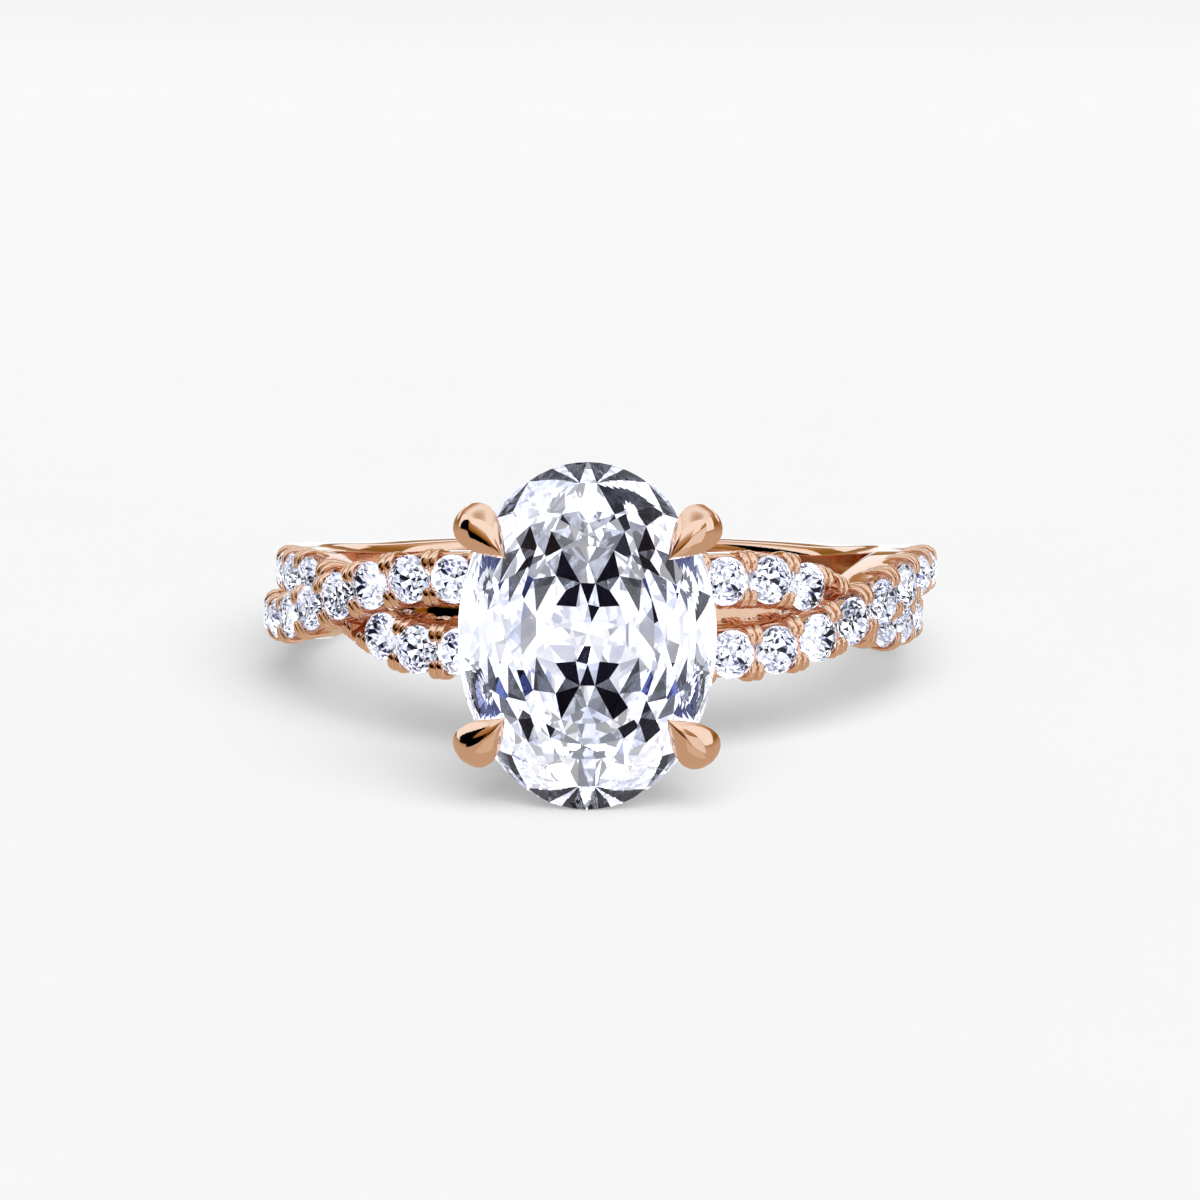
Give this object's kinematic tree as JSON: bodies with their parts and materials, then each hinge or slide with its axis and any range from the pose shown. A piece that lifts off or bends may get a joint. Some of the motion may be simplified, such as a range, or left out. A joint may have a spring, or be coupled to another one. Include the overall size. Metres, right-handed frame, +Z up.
{
  "type": "twisted shank ring",
  "caption": "Rose gold ring with an oval brilliant in petal claws, and set strands that twist over each other before running into a plain back band.",
  "frame": {"origin": "centre of the footprint, on the surface that the ring lies on", "axes": "+Y from the oval stone to the back of the shank, +Z up from the surface; the ring lies on its side, the finger's axis leans a little towards +Y"},
  "size_m": [0.0202, 0.0258, 0.009],
  "materials": {
    "rose_gold": "polished",
    "diamond": "polished"
  },
  "bodies": {
    "root": {"shank_with_head": "rose_gold", "centre_stone": "diamond", "right_over_stone_1": "diamond", "right_over_stone_2": "diamond", "right_over_stone_3": "diamond", "right_over_stone_4": "diamond", "right_over_stone_5": "diamond", "right_over_stone_6": "diamond", "right_over_stone_7": "diamond", "right_over_stone_8": "diamond", "left_over_stone_1": "diamond", "left_over_stone_2": "diamond", "left_over_stone_3": "diamond", "left_over_stone_4": "diamond", "left_over_stone_5": "diamond", "left_over_stone_6": "diamond", "left_over_stone_7": "diamond", "left_over_stone_8": "diamond", "right_under_stone_1": "diamond", "right_under_stone_2": "diamond", "right_under_stone_3": "diamond", "right_under_stone_4": "diamond", "right_under_stone_5": "diamond", "right_under_stone_6": "diamond", "left_under_stone_1": "diamond", "left_under_stone_2": "diamond", "left_under_stone_3": "diamond", "left_under_stone_4": "diamond", "left_under_stone_5": "diamond", "left_under_stone_6": "diamond"}
  },
  "joints": []
}
